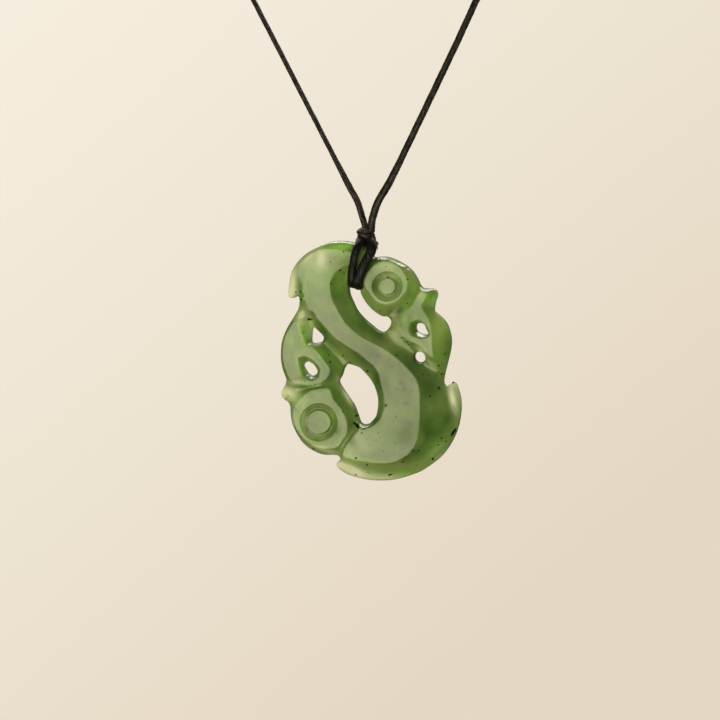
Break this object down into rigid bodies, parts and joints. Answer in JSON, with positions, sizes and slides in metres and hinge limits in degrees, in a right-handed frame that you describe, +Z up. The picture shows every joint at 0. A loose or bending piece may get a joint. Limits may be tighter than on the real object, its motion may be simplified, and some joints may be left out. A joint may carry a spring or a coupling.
{
  "type": "carved greenstone pendant on a cord",
  "caption": "Pierced flat greenstone carving of beaked figures round an S-shaped ribbon, lashed by a wrapped knot to a black neck cord",
  "frame": {"origin": "where the neck cord's joining knot rests on the nape, on the knot's front", "axes": "+Z up, -Y is the way the stone faces, +X to the wearer's left; the stone hangs below and in front of the origin"},
  "size_m": [0.1252, 0.1473, 0.2028],
  "materials": {
    "greenstone": "polished, translucent, with black flecks",
    "cord": "black waxed twisted cord"
  },
  "bodies": {
    "root": {"manaia": "greenstone", "lashing_left": "cord", "lashing_right": "cord", "binding_knot": "cord", "neck_cord_left": "cord", "neck_cord_right": "cord", "nape_knot": "cord"}
  },
  "joints": []
}
